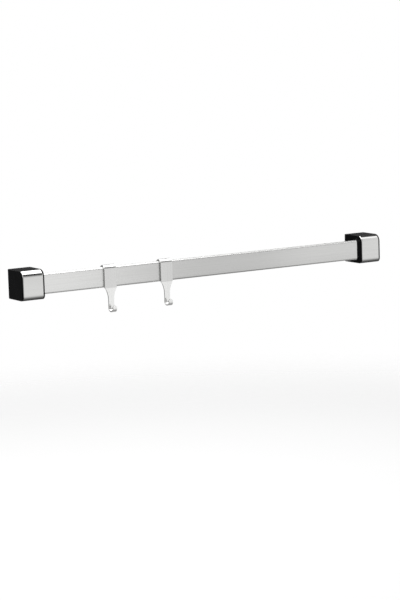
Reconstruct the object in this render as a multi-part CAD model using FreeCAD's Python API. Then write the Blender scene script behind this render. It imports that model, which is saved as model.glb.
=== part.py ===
import FreeCAD, Part
import math
import os

# Kitchen utensil rail, in millimetres.
# X runs along the rail, Y = 0 is the wall and -Y points into the room, +Z is up.
# The origin is on the wall, in the middle of the four wall screw holes.

# Rail: a flat steel tube with rounded edges
overall_length = 500.0
rail_height = 24.0
rail_thickness = 6.0
rail_edge_radius = 2.5
rail_wall = 1.0

# End brackets: what each one has round the rail
rail_standoff = 19.7
rail_engagement = 22.0
cover_outside = 7.0
cover_below = 4.4
cover_above = 6.0
cover_front = 8.8
top_curve_radius = 8.5
bottom_curve_radius = 5.0
housing_wall = 2.0
pocket_back_wall = 2.0
housing_edge_chamfer = 0.6
housing_core_wall = 1.6
core_rib = 1.6

# Front plate: a pressed steel cap let into the front of the housing.
# It ends square to the two curves, at these angles above and below level.
plate_thickness = 0.8
plate_rim = 1.5
plate_flange = 3.0
plate_edge_radius = 1.2
plate_upper_end_angle = 72.0
plate_lower_end_angle = 45.0

# Wall plate: bent sheet with a lip above and a flange below
wall_plate_thickness = 1.5
wall_plate_bend = 1.0
wall_plate_lip = 6.0
wall_plate_flange = 11.0
wall_hole_radius = 2.2
wall_hole_spacing = 11.0

# Set screws and the bushes they turn in
screw_radius = 2.0
screw_recess = 0.3
screw_point_chamfer = 0.5
socket_across_flats = 2.0
socket_depth = 1.8
hexagon_sides = 6
bush_radius = 2.9
bush_collar_radius = 4.4
lock_screw_from_wall = 7.0

# End plugs of the rail
plug_head = 1.5
plug_stem = 13.0
plug_lead = 1.0

# Hooks: one bent strip each
hook_positions = {"left_hook": -131.5, "right_hook": -55.8}
hook_width = 16.0
hook_thickness = 2.0
hook_rear_leg = 17.0
hook_rear_corner = 3.0
hook_neck_width = 7.2
hook_tip_width = 5.2
hook_tip_flat = 0.6
hook_taper_height = 14.0
hook_drop = 23.7
hook_throat_radius = 3.0
hook_tip_rise = 3.0

# Clearances
rail_clearance = 0.15
hook_clearance = 0.3
plate_clearance = 0.1
wall_plate_clearance = 0.3
plug_clearance = 0.1
thread_clearance = 0.05
end_clearance = 0.2
bush_top_clearance = 0.2

# Worked out from the sizes above
bracket_width = rail_engagement + cover_outside
bracket_height = cover_below + rail_height + cover_above
bracket_depth = rail_standoff + rail_thickness + cover_front
bracket_bottom = -bracket_height / 2
bracket_top = bracket_height / 2
bracket_front = -bracket_depth
bracket_centre_x = (overall_length - bracket_width) / 2
upper_curve_centre = (bracket_front + top_curve_radius, bracket_top - top_curve_radius)
lower_curve_centre = (bracket_front + bottom_curve_radius, bracket_bottom + bottom_curve_radius)
rail_back_y = -rail_standoff
rail_front_y = rail_back_y - rail_thickness
rail_centre_y = (rail_back_y + rail_front_y) / 2
rail_bottom = bracket_bottom + cover_below
rail_top = rail_bottom + rail_height
rail_length = overall_length - 2 * cover_outside
plate_width = bracket_width - 2 * plate_rim
cavity_front_y = rail_back_y + rail_clearance + pocket_back_wall

# How far a cut runs past everything, and how close two equal values are
beyond = bracket_depth + bracket_height + hook_drop
same = 0.001

X_AXIS = FreeCAD.Vector(1, 0, 0)
Y_AXIS = FreeCAD.Vector(0, 1, 0)
Z_AXIS = FreeCAD.Vector(0, 0, 1)


def box(x_range, y_range, z_range):
    """A box given by its lowest and highest X, Y and Z."""
    corner = FreeCAD.Vector(x_range[0], y_range[0], z_range[0])
    return Part.makeBox(
        x_range[1] - x_range[0],
        y_range[1] - y_range[0],
        z_range[1] - z_range[0],
        corner,
    )


def line(start, end):
    return Part.LineSegment(FreeCAD.Vector(*start), FreeCAD.Vector(*end)).toShape()


def spoke(centre, radius, degrees):
    """The (Y, Z) point at this radius from a centre, its angle from -Y towards +Z."""
    angle = math.radians(degrees)
    return (centre[0] - radius * math.cos(angle), centre[1] + radius * math.sin(angle))


def arc_yz(x, centre, radius, start_degrees, end_degrees):
    """An arc in a plane across X, with angles from -Y towards +Z."""
    angles = (start_degrees, (start_degrees + end_degrees) / 2, end_degrees)
    points = [FreeCAD.Vector(x, *spoke(centre, radius, angle)) for angle in angles]
    return Part.Arc(*points).toShape()


def polygon_yz(points, x_start, width):
    """A prism along X on a polygon of (Y, Z) corners."""
    corners = [FreeCAD.Vector(x_start, y, z) for y, z in points]
    wire = Part.makePolygon(corners + corners[:1])
    return Part.Face(wire).extrude(X_AXIS * width)


def polygon_xy(points):
    """A prism along Z, past everything both ways, on a polygon of (X, Y) corners."""
    corners = [FreeCAD.Vector(x, y, -beyond) for x, y in points]
    wire = Part.makePolygon(corners + corners[:1])
    return Part.Face(wire).extrude(Z_AXIS * 2 * beyond)


def edges_along(shape, axis):
    """The straight edges of a shape that run along an axis."""
    found = []
    for edge in shape.Edges:
        if edge.Curve.TypeId != "Part::GeomLine":
            continue
        if edge.tangentAt(edge.FirstParameter).cross(axis).Length < same:
            found.append(edge)
    return found


def rounded_bar(x_range, y_range, z_range, radius):
    """A bar along X with its four long edges rounded."""
    bar = box(x_range, y_range, z_range)
    return bar.makeFillet(radius, edges_along(bar, X_AXIS))


def bracket_block(width, inset):
    """The outer form of a bracket, centred on X = 0, inset all round.

    The side profile is flat on the wall, with a large curve at the top front
    and a smaller one at the bottom front.
    """
    x = -width / 2
    top = bracket_top - inset
    bottom = bracket_bottom + inset
    front = bracket_front + inset
    edges = [
        line((x, 0, bottom), (x, 0, top)),
        line((x, 0, top), (x, upper_curve_centre[0], top)),
        arc_yz(x, upper_curve_centre, top_curve_radius - inset, 90, 0),
        line((x, front, upper_curve_centre[1]), (x, front, lower_curve_centre[1])),
        arc_yz(x, lower_curve_centre, bottom_curve_radius - inset, 0, -90),
        line((x, lower_curve_centre[0], bottom), (x, 0, bottom)),
    ]
    return Part.Face(Part.Wire(edges)).extrude(X_AXIS * width)


def side_edges(block):
    """The edges round a block's two side faces, apart from those on the wall."""
    found = []
    for edge in block.Edges:
        bounds = edge.BoundBox
        if bounds.XLength < same and bounds.YMin < -same:
            found.append(edge)
    return found


def front_region():
    """Where the front plate lies: between its two end angles on the two curves."""
    upper_end = spoke(upper_curve_centre, beyond, plate_upper_end_angle)
    lower_end = spoke(lower_curve_centre, beyond, -plate_lower_end_angle)
    in_front = bracket_front - beyond
    corners = [
        upper_curve_centre,
        upper_end,
        (in_front, upper_end[1]),
        (in_front, lower_end[1]),
        lower_end,
        lower_curve_centre,
    ]
    return polygon_yz(corners, -bracket_width, 2 * bracket_width)


def make_front_plate():
    """The pressed steel plate: rounded along both sides, with turned-in flanges."""
    outer = bracket_block(plate_width, 0)
    outer = outer.makeFillet(plate_edge_radius, side_edges(outer))
    inner = bracket_block(plate_width - 2 * plate_thickness, plate_thickness)
    core = bracket_block(2 * bracket_width, plate_flange)
    return outer.cut(inner).cut(core).common(front_region())


def make_plate_seat():
    """What is cut from the housing for the front plate and its flanges."""
    gap = plate_clearance
    outer = bracket_block(plate_width + 2 * gap, 0)
    inner = bracket_block(plate_width - 2 * plate_thickness - 2 * gap, plate_thickness + gap)
    core = bracket_block(2 * bracket_width, plate_flange + gap)
    return outer.cut(inner).cut(core).common(front_region())


def screw_places():
    """The Y places of the two set screws under a bracket."""
    return {"lock": -lock_screw_from_wall, "clamp": rail_centre_y}


def make_housing(side):
    """The black moulded housing. side is -1 on the left and 1 on the right."""
    half_inside = bracket_width / 2 - housing_wall
    block = bracket_block(bracket_width, 0)
    housing = block.makeChamfer(housing_edge_chamfer, side_edges(block))
    rear_cavity = box(
        (-half_inside, half_inside),
        (cavity_front_y, beyond),
        (bracket_bottom + housing_wall, bracket_top - housing_wall),
    )
    housing = housing.cut(rear_cavity)
    # The collar round the lock screw's bush, rooted halfway into the bottom wall
    collar_bottom = bracket_bottom + housing_wall / 2
    collar_top = rail_bottom - bush_top_clearance
    collar = Part.makeCylinder(
        bush_collar_radius,
        collar_top - collar_bottom,
        FreeCAD.Vector(0, -lock_screw_from_wall, collar_bottom),
    )
    housing = housing.fuse(collar)
    # The pocket for the rail, open on the side that faces the other bracket
    pocket_end = side * (bracket_width / 2 - cover_outside + plug_head + end_clearance)
    pocket_mouth = -side * bracket_width
    pocket = rounded_bar(
        (min(pocket_end, pocket_mouth), max(pocket_end, pocket_mouth)),
        (rail_front_y - rail_clearance, rail_back_y + rail_clearance),
        (rail_bottom - rail_clearance, rail_top + rail_clearance),
        rail_edge_radius + rail_clearance,
    )
    housing = housing.cut(pocket)
    # Hollows behind the front plate, each side of one rib
    core_back_y = rail_front_y - rail_clearance - housing_core_wall
    core_half_width = plate_width / 2 - plate_thickness - plate_clearance - housing_core_wall
    core_z = (lower_curve_centre[1], upper_curve_centre[1])
    for x_range in ((-core_half_width, -core_rib / 2), (core_rib / 2, core_half_width)):
        housing = housing.cut(box(x_range, (-beyond, core_back_y), core_z))
    housing = housing.cut(make_plate_seat())
    for y in screw_places().values():
        seat = Part.makeCylinder(bush_radius, cover_below, FreeCAD.Vector(0, y, bracket_bottom))
        housing = housing.cut(seat)
    return housing


def make_bush(y):
    """The threaded bush in the bottom of the housing."""
    height = cover_below - bush_top_clearance
    place = FreeCAD.Vector(0, y, bracket_bottom)
    outside = Part.makeCylinder(bush_radius, height, place)
    bore = Part.makeCylinder(screw_radius + thread_clearance, height, place)
    return outside.cut(bore)


def make_set_screw(y):
    """A set screw with a hexagon socket, driven from below."""
    bottom = bracket_bottom + screw_recess
    length = rail_bottom - bottom
    place = FreeCAD.Vector(0, y, bottom)
    screw = Part.makeCylinder(screw_radius, length, place)
    top_edges = []
    for edge in screw.Edges:
        if edge.BoundBox.ZMin > rail_bottom - screw_point_chamfer:
            top_edges.append(edge)
    screw = screw.makeChamfer(screw_point_chamfer, top_edges)
    turn = 2 * math.pi / hexagon_sides
    corner_radius = socket_across_flats / 2 / math.cos(turn / 2)
    corners = []
    for step in range(hexagon_sides):
        x = corner_radius * math.cos(turn * step)
        corners.append(place + FreeCAD.Vector(x, corner_radius * math.sin(turn * step), 0))
    socket = Part.Face(Part.makePolygon(corners + corners[:1]))
    return screw.cut(socket.extrude(Z_AXIS * socket_depth))


def make_wall_plate():
    """The sheet steel plate that is screwed to the wall."""
    width = bracket_width - 2 * housing_wall - 2 * wall_plate_clearance
    top = bracket_top - housing_wall
    bottom = rail_bottom
    sheet = wall_plate_thickness
    corners = [
        (0, bottom),
        (0, top),
        (-wall_plate_lip, top),
        (-wall_plate_lip, top - sheet),
        (-sheet, top - sheet),
        (-sheet, bottom + sheet),
        (-wall_plate_flange, bottom + sheet),
        (-wall_plate_flange, bottom),
    ]
    plate = polygon_yz(corners, -width / 2, width)
    for face_y, radius in ((-sheet, wall_plate_bend), (0, wall_plate_bend + sheet)):
        bends = [e for e in edges_along(plate, X_AXIS) if abs(e.BoundBox.YMin - face_y) < same]
        plate = plate.makeFillet(radius, bends)
    for z in (-wall_hole_spacing / 2, wall_hole_spacing / 2):
        start = FreeCAD.Vector(0, -wall_plate_flange, z)
        plate = plate.cut(Part.makeCylinder(wall_hole_radius, beyond, start, Y_AXIS))
    return plate


def make_rail():
    """The flat steel tube."""
    half = rail_length / 2
    outside = rounded_bar(
        (-half, half),
        (rail_front_y, rail_back_y),
        (rail_bottom, rail_top),
        rail_edge_radius,
    )
    inside = rounded_bar(
        (-half - beyond, half + beyond),
        (rail_front_y + rail_wall, rail_back_y - rail_wall),
        (rail_bottom + rail_wall, rail_top - rail_wall),
        rail_edge_radius - rail_wall,
    )
    return outside.cut(inside)


def make_rail_plug(side):
    """The moulded plug in one end of the rail, inside the bracket's pocket."""
    end = side * rail_length / 2
    outer_end = end + side * plug_head
    inner_end = end - side * plug_stem
    head = rounded_bar(
        (min(end, outer_end), max(end, outer_end)),
        (rail_front_y, rail_back_y),
        (rail_bottom, rail_top),
        rail_edge_radius,
    )
    gap = rail_wall + plug_clearance
    stem_front = rail_front_y + gap
    stem_back = rail_back_y - gap
    stem = rounded_bar(
        (min(end, inner_end), max(end, inner_end)),
        (stem_front, stem_back),
        (rail_bottom + gap, rail_top - gap),
        rail_edge_radius - gap,
    )
    # The stem's two wide faces slope in at its inner end, to lead it into the tube
    lead_start = inner_end + side * plug_lead
    plan = [
        (end, stem_front),
        (lead_start, stem_front),
        (inner_end, stem_front + plug_lead),
        (inner_end, stem_back - plug_lead),
        (lead_start, stem_back),
        (end, stem_back),
    ]
    return head.fuse(stem.common(polygon_xy(plan))).removeSplitter()


def hook_strip():
    """The strip's bent side profile, at full width, centred on X = 0."""
    x = -hook_width / 2
    inside_front = rail_front_y - hook_clearance
    inside_back = rail_back_y + hook_clearance
    inside_top = rail_top + hook_clearance
    bend = rail_edge_radius + hook_clearance
    outer_bend = bend + hook_thickness
    outside_front = inside_front - hook_thickness
    outside_back = inside_back + hook_thickness
    outside_top = inside_top + hook_thickness
    rear_end = rail_top - hook_rear_leg
    bend_z = inside_top - bend
    front_bend_y = inside_front + bend
    back_bend_y = inside_back - bend
    throat_z = rail_bottom - hook_drop
    throat_y = outside_front - hook_throat_radius
    outer_throat = hook_throat_radius + hook_thickness
    tip_z = throat_z + hook_tip_rise
    tip_inner_y = throat_y - hook_throat_radius
    tip_outer_y = throat_y - outer_throat
    edges = [
        line((x, inside_back, rear_end), (x, inside_back, bend_z)),
        arc_yz(x, (back_bend_y, bend_z), bend, 180, 90),
        line((x, back_bend_y, inside_top), (x, front_bend_y, inside_top)),
        arc_yz(x, (front_bend_y, bend_z), bend, 90, 0),
        line((x, inside_front, bend_z), (x, inside_front, throat_z)),
        arc_yz(x, (throat_y, throat_z), outer_throat, -180, 0),
        line((x, tip_outer_y, throat_z), (x, tip_outer_y, tip_z)),
        line((x, tip_outer_y, tip_z), (x, tip_inner_y, tip_z)),
        line((x, tip_inner_y, tip_z), (x, tip_inner_y, throat_z)),
        arc_yz(x, (throat_y, throat_z), hook_throat_radius, 0, -180),
        line((x, outside_front, throat_z), (x, outside_front, bend_z)),
        arc_yz(x, (front_bend_y, bend_z), outer_bend, 0, 90),
        line((x, front_bend_y, outside_top), (x, back_bend_y, outside_top)),
        arc_yz(x, (back_bend_y, bend_z), outer_bend, 90, 180),
        line((x, outside_back, bend_z), (x, outside_back, rear_end)),
        line((x, outside_back, rear_end), (x, inside_back, rear_end)),
    ]
    return Part.Face(Part.Wire(edges)).extrude(X_AXIS * hook_width)


def hook_outline():
    """The strip's outline seen from the front, as a prism along Y.

    It is full width in front of the rail, then draws in along two hollow
    curves to the neck, which carries on to the end of the hook.
    """
    half = hook_width / 2
    neck = hook_neck_width / 2
    top = rail_top + beyond
    start = rail_bottom
    end = rail_bottom - hook_taper_height
    foot = end - beyond
    y = beyond
    run = half - neck
    curve_radius = (run ** 2 + hook_taper_height ** 2) / (2 * run)
    middle_angle = math.asin(hook_taper_height / curve_radius) / 2
    middle_x = neck + curve_radius * (1 - math.cos(middle_angle))
    middle_z = end + curve_radius * math.sin(middle_angle)
    right_curve = Part.Arc(
        FreeCAD.Vector(half, y, start),
        FreeCAD.Vector(middle_x, y, middle_z),
        FreeCAD.Vector(neck, y, end),
    ).toShape()
    left_curve = Part.Arc(
        FreeCAD.Vector(-neck, y, end),
        FreeCAD.Vector(-middle_x, y, middle_z),
        FreeCAD.Vector(-half, y, start),
    ).toShape()
    edges = [
        line((-half, y, top), (half, y, top)),
        line((half, y, top), (half, y, start)),
        right_curve,
        line((neck, y, end), (neck, y, foot)),
        line((neck, y, foot), (-neck, y, foot)),
        line((-neck, y, foot), (-neck, y, end)),
        left_curve,
        line((-half, y, start), (-half, y, top)),
    ]
    return Part.Face(Part.Wire(edges)).extrude(-Y_AXIS * 2 * beyond)


def hook_plan():
    """The hook's outline seen from above, as a prism along Z: it narrows from
    the neck's width to the tip's width round the throat."""
    strip_front = rail_front_y - hook_clearance - hook_thickness
    tip_front = strip_front - 2 * hook_throat_radius - hook_thickness
    half_neck = hook_neck_width / 2
    half_tip = hook_tip_width / 2
    outline = [
        (-hook_width, beyond),
        (hook_width, beyond),
        (hook_width, strip_front),
        (half_neck, strip_front),
        (half_tip, tip_front),
        (-half_tip, tip_front),
        (-half_neck, strip_front),
        (-hook_width, strip_front),
    ]
    return polygon_xy(outline)


def tip_corners(hook):
    """The two upper corner edges at the hook's tip, through the strip's thickness."""
    tip_z = rail_bottom - hook_drop + hook_tip_rise
    found = []
    for edge in hook.Edges:
        bounds = edge.BoundBox
        at_tip = bounds.YMax < rail_front_y - hook_thickness and abs(bounds.ZMin - tip_z) < same
        if at_tip and bounds.ZLength < same and bounds.YLength > same:
            found.append(edge)
    return found


def round_ends(hook):
    """Rounds the corners at the two ends of the strip."""
    rear_end = rail_top - hook_rear_leg
    rear_corners = []
    for edge in edges_along(hook, Y_AXIS):
        bounds = edge.BoundBox
        if bounds.YMin > rail_back_y and abs(bounds.ZMin - rear_end) < same:
            rear_corners.append(edge)
    hook = hook.makeFillet(hook_rear_corner, rear_corners)
    return hook.makeFillet((hook_tip_width - hook_tip_flat) / 2, tip_corners(hook))


def make_hook():
    return round_ends(hook_strip().common(hook_outline()).common(hook_plan()))


def moved(shape, x):
    copy = shape.copy()
    copy.translate(X_AXIS * x)
    return copy


def bracket_parts(name, side):
    """The pieces of one end bracket, at its end of the rail."""
    parts = {
        "housing": make_housing(side),
        "front_plate": make_front_plate(),
        "wall_plate": make_wall_plate(),
    }
    for use, y in screw_places().items():
        parts[use + "_bush"] = make_bush(y)
        parts[use + "_screw"] = make_set_screw(y)
    nodes = {}
    for part_name, shape in parts.items():
        nodes[name + "_" + part_name] = moved(shape, side * bracket_centre_x)
    nodes[name + "_rail_plug"] = make_rail_plug(side)
    return nodes


def all_nodes():
    nodes = {"rail": make_rail()}
    nodes.update(bracket_parts("left", -1))
    nodes.update(bracket_parts("right", 1))
    for name, x in hook_positions.items():
        nodes[name] = moved(make_hook(), x)
    return nodes


os.makedirs("parts", exist_ok=True)
for node_name, node_shape in all_nodes().items():
    print(node_name, len(node_shape.Solids), round(node_shape.Volume, 1), node_shape.isValid())
    node_shape.exportStep(os.path.join("parts", node_name + ".step"))
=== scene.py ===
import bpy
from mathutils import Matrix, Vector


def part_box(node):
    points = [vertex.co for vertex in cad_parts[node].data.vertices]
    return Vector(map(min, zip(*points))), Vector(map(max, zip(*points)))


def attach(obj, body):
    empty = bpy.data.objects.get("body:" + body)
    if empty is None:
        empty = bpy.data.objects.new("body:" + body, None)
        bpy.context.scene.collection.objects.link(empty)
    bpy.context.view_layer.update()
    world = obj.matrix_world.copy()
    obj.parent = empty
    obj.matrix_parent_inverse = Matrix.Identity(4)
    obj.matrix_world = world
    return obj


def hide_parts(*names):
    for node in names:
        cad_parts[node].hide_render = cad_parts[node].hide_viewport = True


bl_info = {
    "name": "Kitchen utensil rail",
    "version": (1, 0, 0),
    "blender": (4, 5, 0),
    "location": "View3D > Sidebar > Utensil Rail",
    "description": "Dresses a wall rail with its end brackets, front plates and sliding hooks",
    "category": "Object",
}

import math

import bmesh
import bpy
from mathutils import Euler, Matrix

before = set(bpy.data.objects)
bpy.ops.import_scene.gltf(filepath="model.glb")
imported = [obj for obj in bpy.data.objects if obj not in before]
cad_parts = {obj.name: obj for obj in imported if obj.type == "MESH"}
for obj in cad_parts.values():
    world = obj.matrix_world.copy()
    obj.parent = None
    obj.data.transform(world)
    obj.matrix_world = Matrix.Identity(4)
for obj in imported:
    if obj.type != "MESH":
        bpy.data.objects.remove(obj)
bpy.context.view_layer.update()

# All lengths are in metres; MM writes the small ones as millimetres.
# X runs along the rail, the wall is Y = 0 and the room is at -Y, +Z is up.
MM = 0.001
SIDES = ("left", "right")
SCREW_NODES = [f"{side}_{use}_screw" for side in SIDES for use in ("lock", "clamp")]

# Edges sharper than this stay sharp; a housing's chamfers are shaded smooth too
SMOOTH_ANGLE = math.radians(35)
CHAMFER_SMOOTH_ANGLE = math.radians(50)
# Points nearer than this are one point, and faces that turn less than this are one face
MERGE_DISTANCE = 0.001 * MM
FLAT_ANGLE = math.radians(1)
# The attribute of a hook's path that holds half the strip's width at each point
HALF_WIDTH = "half_width"
# How finely curves are drawn: the points on a rounded edge or round a screw, and the
# steps along a front plate's profile and along a hook's strip
TUBE_EDGE_STEPS = 12
PLATE_EDGE_STEPS = 8
STRIP_EDGE_STEPS = 4
SCREW_STEPS_ROUND = 36
SCREW_STEPS_UP = 48
TOP_CURVE_STEPS = 20
BOTTOM_CURVE_STEPS = 10
CORNER_STEPS = 12
BEND_STEPS = 16
TAPER_STEPS = 20
THROAT_STEPS = 32

rail_low, rail_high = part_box("rail")
housing_low, housing_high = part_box("left_housing")
plate_low, plate_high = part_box("left_front_plate")
hook_low, hook_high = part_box("left_hook")
screw_low, screw_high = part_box(SCREW_NODES[0])


# Settings that a user would change


def length(name, description, default, smallest=0.0):
    """A size in metres."""
    return bpy.props.FloatProperty(
        name=name,
        description=description,
        default=default,
        min=smallest,
        precision=5,
        subtype="DISTANCE",
        unit="LENGTH",
    )


def colour(name, description, default):
    """A linear colour."""
    return bpy.props.FloatVectorProperty(
        name=name,
        description=description,
        default=default,
        size=3,
        min=0.0,
        max=1.0,
        subtype="COLOR",
    )


def share(name, description, default):
    """A number from 0 to 1."""
    return bpy.props.FloatProperty(
        name=name,
        description=description,
        default=default,
        min=0.0,
        max=1.0,
        subtype="FACTOR",
    )


def angle(name, description, degrees):
    """An angle from level to straight up, given in degrees."""
    return bpy.props.FloatProperty(
        name=name,
        description=description,
        default=math.radians(degrees),
        min=0.0,
        max=math.pi / 2,
        subtype="ANGLE",
        unit="ROTATION",
    )


class RailSettings(bpy.types.PropertyGroup):
    tube_length: length("Length", "How long the steel tube is", rail_high.x - rail_low.x)
    height: length("Height", "Height of the tube's section", rail_high.z - rail_low.z)
    thickness: length("Thickness", "Depth of the tube's section", rail_high.y - rail_low.y)
    edge_radius: length("Edge Radius", "Rounding of the tube's long edges", 2.5 * MM)
    wall: length("Wall", "Thickness of the tube's wall", 1.0 * MM)
    # The rail's steel is given at its left end, where the painted light along the rail leaves it
    # palest
    steel: colour("Steel", "Colour of the rail's steel at its left end", (0.83, 0.83, 0.82))
    roughness: share("Roughness", "How dull the brushed rail is", 0.36)


class PlateSettings(bpy.types.PropertyGroup):
    width: length("Width", "Width of a front plate", plate_high.x - plate_low.x)
    sheet: length("Sheet", "Thickness of the pressed sheet", 0.8 * MM)
    flange: length("Flange", "How far the sides turn in", 3.0 * MM)
    edge_radius: length("Edge Radius", "Rounding between front and sides", 1.2 * MM)
    top_curve: length("Top Curve", "Radius of the large curve at the top", 8.5 * MM)
    bottom_curve: length("Bottom Curve", "Radius of the curve at the bottom", 5.0 * MM)
    upper_end: angle("Upper End", "Where it ends on the top curve, above level", 72)
    lower_end: angle("Lower End", "Where it ends on the bottom curve, below level", 45)
    steel: colour("Steel", "Colour of the plates' steel", (0.67, 0.67, 0.66))
    roughness: share("Roughness", "How dull the plates are", 0.12)


class HookSettings(bpy.types.PropertyGroup):
    width: length("Width", "Width of the strip over the rail", hook_high.x - hook_low.x)
    strip: length("Strip", "Thickness of the strip", 2.0 * MM)
    bend: length("Bend", "Inner radius of the two bends over the rail", 2.8 * MM)
    throat: length("Throat", "Inner radius of the hook's throat", 3.0 * MM)
    rear_leg: length("Rear Leg", "How far the strip reaches down behind the rail", 17.0 * MM)
    rear_corner: length("Rear Corner", "Rounding at the rear end's corners", 3.0 * MM)
    taper: length("Taper", "Height over which the strip draws in", 14.0 * MM)
    neck: length("Neck", "Width of the strip's neck", 7.2 * MM)
    tip: length("Tip", "Width of the strip's tip", 5.2 * MM)
    tip_rise: length("Tip Rise", "Height of the tip above the throat's centre", 3.0 * MM)
    edge_radius: length("Edge Radius", "Rounding of the strip's edges", 0.35 * MM)
    # The hooks' steel below the rail is lighter than plain steel, a painted reflection; over the
    # rail it is painted darker as shade
    steel: colour("Steel", "Colour of the hooks' steel below the rail", (0.92, 0.92, 0.91))
    painted_shade_over_rail: share("Upper Shade", "How much darker the hooks are over the rail", 0.20)
    roughness: share("Roughness", "How dull the hooks are", 0.20)


class ScrewSettings(bpy.types.PropertyGroup):
    radius: length("Radius", "Outer radius of the thread", (screw_high.x - screw_low.x) / 2)
    screw_length: length("Length", "Length of a set screw", screw_high.z - screw_low.z)
    pitch: length("Pitch", "Rise of the thread in one turn", 0.7 * MM, 0.1 * MM)
    thread: length("Thread Depth", "Depth of the thread", 0.38 * MM)
    chamfer: length("Chamfer", "Chamfer at both ends", 0.45 * MM)
    socket_radius: length("Socket Radius", "Corner radius of the hexagon socket", 1.15 * MM)
    socket_depth: length("Socket Depth", "Depth of the socket", 1.8 * MM)
    steel: colour("Steel", "Colour of the screws' steel", (0.42, 0.42, 0.43))


class MouldingSettings(bpy.types.PropertyGroup):
    housing: colour("Housing", "Colour of the brackets' housings", (0.004, 0.004, 0.0045))
    housing_roughness: share("Housing Roughness", "How dull the housings are", 0.18)
    plug: colour("Plug", "Colour of the rail's end plugs", (0.030, 0.030, 0.031))


class FittingSettings(bpy.types.PropertyGroup):
    zinc: colour("Zinc", "Colour of the wall plates' zinc", (0.62, 0.64, 0.66))
    brass: colour("Brass", "Colour of the threaded bushes", (0.72, 0.52, 0.24))


class StageSettings(bpy.types.PropertyGroup):
    floor_drop: length("Floor Drop", "How far the floor lies below the wall screws", 350.0 * MM)
    floor_colour: colour("Floor", "Colour of the floor", (0.85, 0.85, 0.85))
    softbox_power: bpy.props.FloatProperty(
        name="Softbox Power",
        description="Power of the soft light overhead",
        default=14.0,
        min=0.0,
        unit="POWER",
    )


class UtensilRailSettings(bpy.types.PropertyGroup):
    rail: bpy.props.PointerProperty(type=RailSettings)
    plates: bpy.props.PointerProperty(type=PlateSettings)
    hooks: bpy.props.PointerProperty(type=HookSettings)
    screws: bpy.props.PointerProperty(type=ScrewSettings)
    mouldings: bpy.props.PointerProperty(type=MouldingSettings)
    fittings: bpy.props.PointerProperty(type=FittingSettings)
    stage: bpy.props.PointerProperty(type=StageSettings)


# Node trees


class Nodes:
    """Adds nodes to a tree, with each input set to a value or linked to an output."""

    def __init__(self, tree):
        self.tree = tree

    def add(self, kind, inputs=None, **options):
        node = self.tree.nodes.new(kind)
        for name, value in options.items():
            setattr(node, name, value)
        for key, value in (inputs or {}).items():
            self.fill(node.inputs[key], value)
        return node

    def fill(self, socket, value):
        if isinstance(value, bpy.types.Node):
            value = value.outputs[0]
        if isinstance(value, bpy.types.NodeSocket):
            self.tree.links.new(value, socket)
        else:
            socket.default_value = value

    def maths(self, operation, *values):
        node = self.tree.nodes.new("ShaderNodeMath")
        node.operation = operation
        for socket, value in zip(node.inputs, values):
            self.fill(socket, value)
        return node.outputs[0]

    def vector(self, x, y, z):
        return self.add("ShaderNodeCombineXYZ", {"X": x, "Y": y, "Z": z}).outputs[0]

    def ramp(self, value, low, high, to_low=0.0, to_high=1.0, smooth=False):
        """Maps value from low..high to to_low..to_high, held at both ends."""
        sockets = {
            "Value": value,
            "From Min": low,
            "From Max": high,
            "To Min": to_low,
            "To Max": to_high,
        }
        kind = "SMOOTHSTEP" if smooth else "LINEAR"
        return self.add("ShaderNodeMapRange", sockets, interpolation_type=kind).outputs[0]


def new_shape_tree(name, sizes):
    """A geometry tree with named sizes and a material. Returns its builder and group input."""
    tree = bpy.data.node_groups.new(name, "GeometryNodeTree")
    tree.interface.new_socket("Geometry", in_out="INPUT", socket_type="NodeSocketGeometry")
    for size in sizes:
        socket = tree.interface.new_socket(size, in_out="INPUT", socket_type="NodeSocketFloat")
        socket.subtype = "DISTANCE"
    tree.interface.new_socket("Material", in_out="INPUT", socket_type="NodeSocketMaterial")
    tree.interface.new_socket("Geometry", in_out="OUTPUT", socket_type="NodeSocketGeometry")
    nodes = Nodes(tree)
    return nodes, nodes.add("NodeGroupInput").outputs


def end_shape_tree(nodes, given, geometry):
    """Ends a tree: instances are made real and the material is set."""
    real = nodes.add("GeometryNodeRealizeInstances", {"Geometry": geometry})
    painted = nodes.add(
        "GeometryNodeSetMaterial", {"Geometry": real, "Material": given["Material"]}
    )
    nodes.add("NodeGroupOutput", {"Geometry": painted})
    return nodes.tree


def add_modifier(piece, kind, **options):
    modifier = piece.modifiers.new(kind.title(), kind)
    for name, value in options.items():
        setattr(modifier, name, value)
    return modifier


def make_plain(piece):
    """Turns what the modifiers make into the piece's own mesh, and removes them."""
    graph = bpy.context.evaluated_depsgraph_get()
    mesh = bpy.data.meshes.new_from_object(
        piece.evaluated_get(graph), preserve_all_data_layers=True, depsgraph=graph
    )
    piece.modifiers.clear()
    old = piece.data
    piece.data = mesh
    bpy.data.meshes.remove(old)
    mesh.name = piece.name


def shade_flats_and_bends(piece, sharpest=SMOOTH_ANGLE):
    """Smooth shading that keeps flat faces flat, whatever rounded edges they end in."""
    for polygon in piece.data.polygons:
        polygon.use_smooth = True
    piece.data.set_sharp_from_angle(angle=sharpest)
    add_modifier(piece, "WEIGHTED_NORMAL", keep_sharp=True)
    make_plain(piece)


def make_shape(name, mesh, tree, sizes, material):
    """A piece on a starting mesh, shaped by a geometry tree with these sizes."""
    piece = bpy.data.objects.new(name, mesh)
    bpy.context.scene.collection.objects.link(piece)
    modifier = piece.modifiers.new("Shape", "NODES")
    modifier.node_group = tree
    for item in tree.interface.items_tree:
        if item.in_out == "INPUT" and item.name in sizes:
            modifier[item.identifier] = sizes[item.name]
        if item.in_out == "INPUT" and item.name == "Material":
            modifier[item.identifier] = material
    make_plain(piece)
    return piece


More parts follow.
